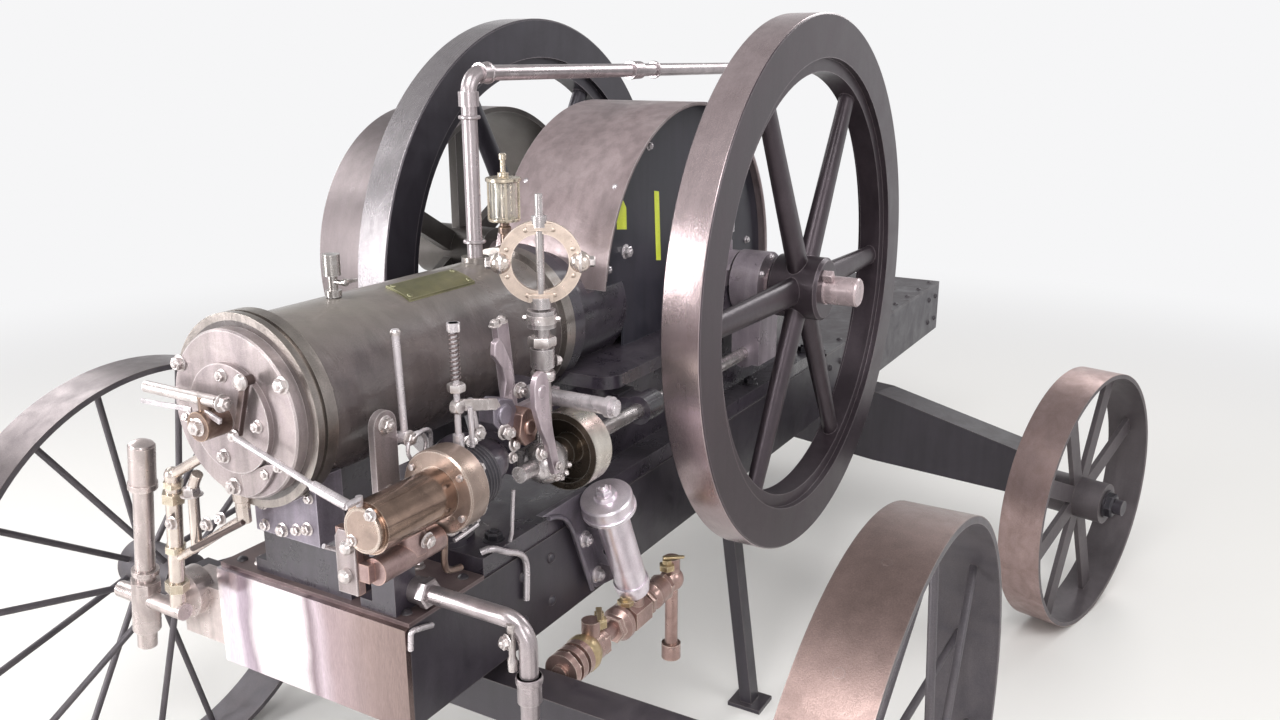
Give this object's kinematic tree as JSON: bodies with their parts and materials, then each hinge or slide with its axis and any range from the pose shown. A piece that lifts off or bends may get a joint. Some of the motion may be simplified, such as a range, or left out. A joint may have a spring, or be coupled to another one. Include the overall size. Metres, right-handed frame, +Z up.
{
  "type": "hit-and-miss engine on a wheeled truck",
  "caption": "Large horizontal open-flywheel hit-and-miss engine with side shaft, flyball governor, crank hood and piping, on a four-wheel steering truck.",
  "frame": {"origin": "on the floor, under the middle of the bounding box", "axes": "+X from the cylinder head towards the crank and the steering axle, +Y away from the side shaft, +Z up"},
  "size_m": [3.745, 2.2836, 1.93],
  "materials": {
    "frame_paint": "worn satin",
    "front_plate": "worn",
    "bed_iron": "oily",
    "jacket_iron": "oily",
    "head_steel": "machined",
    "flywheel_iron": "polished tread",
    "pulley_steel": "worn",
    "shaft_steel": "bright",
    "hood_sheet": "bare worn sheet",
    "guard_dark": "dark",
    "pipe_steel": "dull",
    "brass": "aged",
    "bronze": "aged",
    "oiler_glass": "clear",
    "wheel_iron": "rusty"
  },
  "bodies": {
    "engine_frame": {"side_rail_near": "frame_paint", "side_rail_far": "frame_paint", "sub_base_front_plate": "front_plate", "sub_base_cross_members": "frame_paint", "rear_deck_plate": "frame_paint", "front_deck_plate": "frame_paint", "prop_leg_near": "frame_paint", "cylinder_pedestal": "bed_iron", "valve_box": "head_steel", "mixer_post": "bed_iron", "engine_bed": "bed_iron", "bearing_cap_near": "bed_iron", "bearing_cap_far": "bed_iron", "crank_hood": "hood_sheet", "hood_side_near": "guard_dark", "hood_side_far": "guard_dark", "cylinder_jacket": "jacket_iron", "cylinder_head": "head_steel", "valve_chest": "head_steel", "cylinder_top_cover": "hood_sheet", "water_riser_pipe": "pipe_steel", "drip_oiler_brass": "brass", "drip_oiler_glass": "oiler_glass", "priming_cup": "brass", "spiral_gear_case": "bed_iron", "side_shaft_bearing": "bed_iron", "governor_housing": "brass", "mixer_barrel": "brass", "mixer_foot": "bronze", "mixer_elbow": "bed_iron", "valve_lever": "shaft_steel", "valve_push_rod": "shaft_steel", "igniter": "bronze", "upright_bracket": "bed_iron", "hand_lever": "shaft_steel", "spring_post": "shaft_steel", "rocker_shaft": "shaft_steel", "trip_levers": "shaft_steel", "fuel_pump": "pipe_steel", "fuel_pump_bracket": "bed_iron", "bronze_valve_train": "bronze", "front_pipe": "pipe_steel", "left_pipe": "pipe_steel", "brass_riser": "brass", "head_axle": "frame_paint", "turn_plate": "frame_paint"},
    "crank": {"crankshaft": "shaft_steel", "flywheel_near": "flywheel_iron", "flywheel_far": "flywheel_iron", "belt_pulley": "pulley_steel"},
    "lay_shaft": {"side_shaft": "shaft_steel", "cam_drum": "shaft_steel"},
    "governor": {"governor_spindle": "brass", "governor_arms": "brass", "governor_balls": "brass"},
    "steering": {"steering_axle": "frame_paint"},
    "steer_wheel_near": {"steering_wheel_near": "wheel_iron"},
    "steer_wheel_far": {"steering_wheel_far": "wheel_iron"},
    "road_wheel_near": {"head_wheel_near": "wheel_iron"},
    "road_wheel_far": {"head_wheel_far": "wheel_iron"}
  },
  "joints": [
    {"name": "crank_spin", "type": "hinge", "parent": "engine_frame", "child": "crank", "pos_m": [-0.2275, 0.106, 1.23], "axis": [0, 1, 0], "continuous": true},
    {"name": "lay_shaft_spin", "type": "hinge", "parent": "engine_frame", "child": "lay_shaft", "pos_m": [-0.8275, -0.194, 1.04], "axis": [1, 0, 0], "continuous": true},
    {"name": "governor_spin", "type": "hinge", "parent": "engine_frame", "child": "governor", "pos_m": [-1.2335, -0.194, 1.445], "axis": [0, 0, 1], "continuous": true},
    {"name": "steering_turn", "type": "hinge", "parent": "engine_frame", "child": "steering", "pos_m": [0.9395, 0, 0.6], "axis": [0, 0, 1], "range_deg": [-10, 38]},
    {"name": "steer_wheel_near_roll", "type": "hinge", "parent": "steering", "child": "steer_wheel_near", "pos_m": [0.69297, -0.97429, 0.424], "axis": [0.2453, 0.9694, 0], "continuous": true},
    {"name": "steer_wheel_far_roll", "type": "hinge", "parent": "steering", "child": "steer_wheel_far", "pos_m": [1.18603, 0.97429, 0.424], "axis": [0.2453, 0.9694, 0], "continuous": true},
    {"name": "head_wheel_near_roll", "type": "hinge", "parent": "engine_frame", "child": "road_wheel_near", "pos_m": [-1.3225, -0.958, 0.55], "axis": [0, 1, 0], "continuous": true},
    {"name": "head_wheel_far_roll", "type": "hinge", "parent": "engine_frame", "child": "road_wheel_far", "pos_m": [-1.3225, 0.958, 0.55], "axis": [0, 1, 0], "continuous": true}
  ],
  "couplings": [
    {"joint": "lay_shaft_spin", "follows": "crank_spin", "ratio": 0.5},
    {"joint": "governor_spin", "follows": "crank_spin", "ratio": 1.5}
  ]
}
